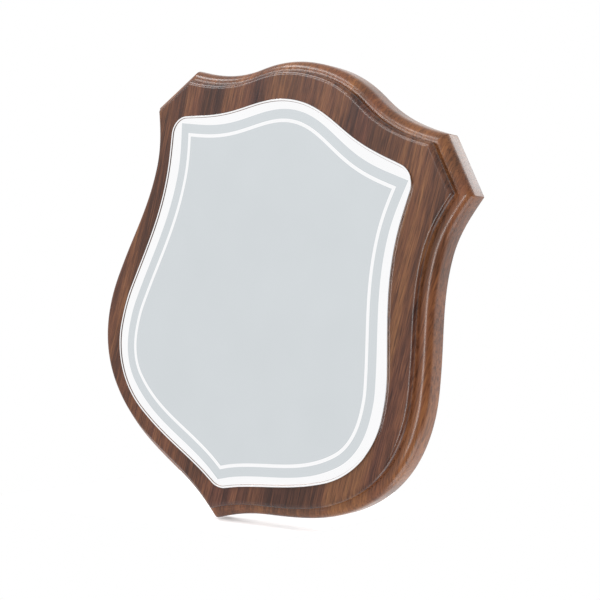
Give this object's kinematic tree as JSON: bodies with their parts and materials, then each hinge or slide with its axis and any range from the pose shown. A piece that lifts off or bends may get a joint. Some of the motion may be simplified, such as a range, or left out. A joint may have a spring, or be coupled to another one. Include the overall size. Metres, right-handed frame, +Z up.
{
  "type": "award shield",
  "caption": "Shield-shaped wooden award plaque with a stepped and rounded edge moulding, a thin bordered metal plate on its front and a keyhole slot in its flat back for hanging.",
  "frame": {"origin": "middle of the board's height and width, on its flat back, where it meets the wall", "axes": "+Z up the shield to its crest, -Y out of its front, +Y into the wall, +X to the right seen from the front"},
  "size_m": [0.2008, 0.0186, 0.228],
  "materials": {
    "walnut_board": "semi-gloss walnut finish, grain upright",
    "plate_metal": "satin field with a polished border and a polished thin line"
  },
  "bodies": {
    "root": {"shield_board": "walnut_board", "front_plate": "plate_metal"}
  },
  "joints": []
}
